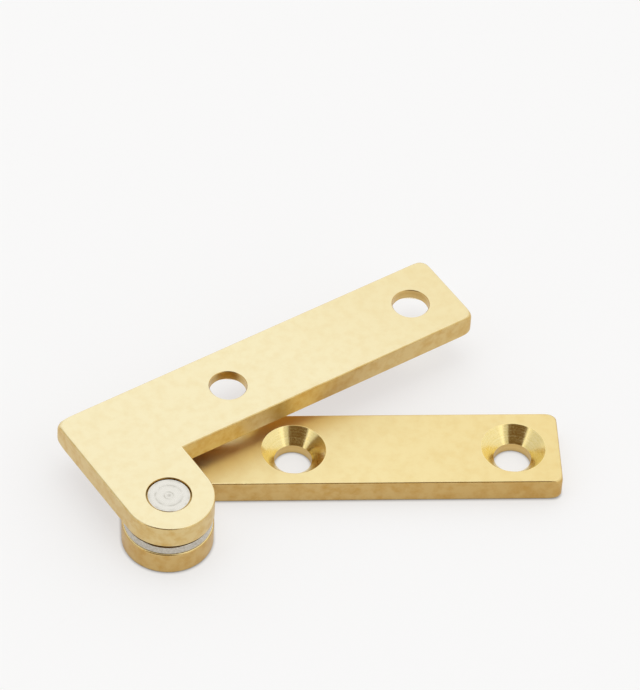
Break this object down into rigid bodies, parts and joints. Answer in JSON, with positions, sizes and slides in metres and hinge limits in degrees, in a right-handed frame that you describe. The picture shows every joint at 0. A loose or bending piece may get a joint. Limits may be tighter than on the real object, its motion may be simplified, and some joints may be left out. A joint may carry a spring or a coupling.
{
  "type": "knife hinge",
  "caption": "Offset knife hinge: L-shaped brass leaves with countersunk screw holes swing in parallel planes about a headless steel pin, with a washer between their round bosses.",
  "frame": {"origin": "on the pin's axis, at the lower leaf's outer face, where the pin's pressed end is flush with it", "axes": "+X along the lower leaf's arm, away from the pin; +Z along the pin, from the lower leaf to the upper"},
  "size_m": [0.0691, 0.0499, 0.0089],
  "materials": {
    "leaf_brass": "satin, tumbled",
    "pin_steel": "turned end",
    "washer_steel": "bright, rolled"
  },
  "bodies": {
    "lower_leaf": {"lower_leaf": "leaf_brass", "pivot_pin": "pin_steel"},
    "thrust_washer": {"thrust_washer": "washer_steel"},
    "upper_leaf": {"upper_leaf": "leaf_brass"}
  },
  "joints": [
    {"name": "leaf_swing", "type": "hinge", "parent": "lower_leaf", "child": "thrust_washer", "pos_m": [0, 0, 0.0036], "axis": [0, 0, 1], "continuous": true},
    {"name": "leaf_lift", "type": "slide", "parent": "thrust_washer", "child": "upper_leaf", "axis": [0, 0, 1], "range_m": [-0.00025, 0.004]}
  ]
}
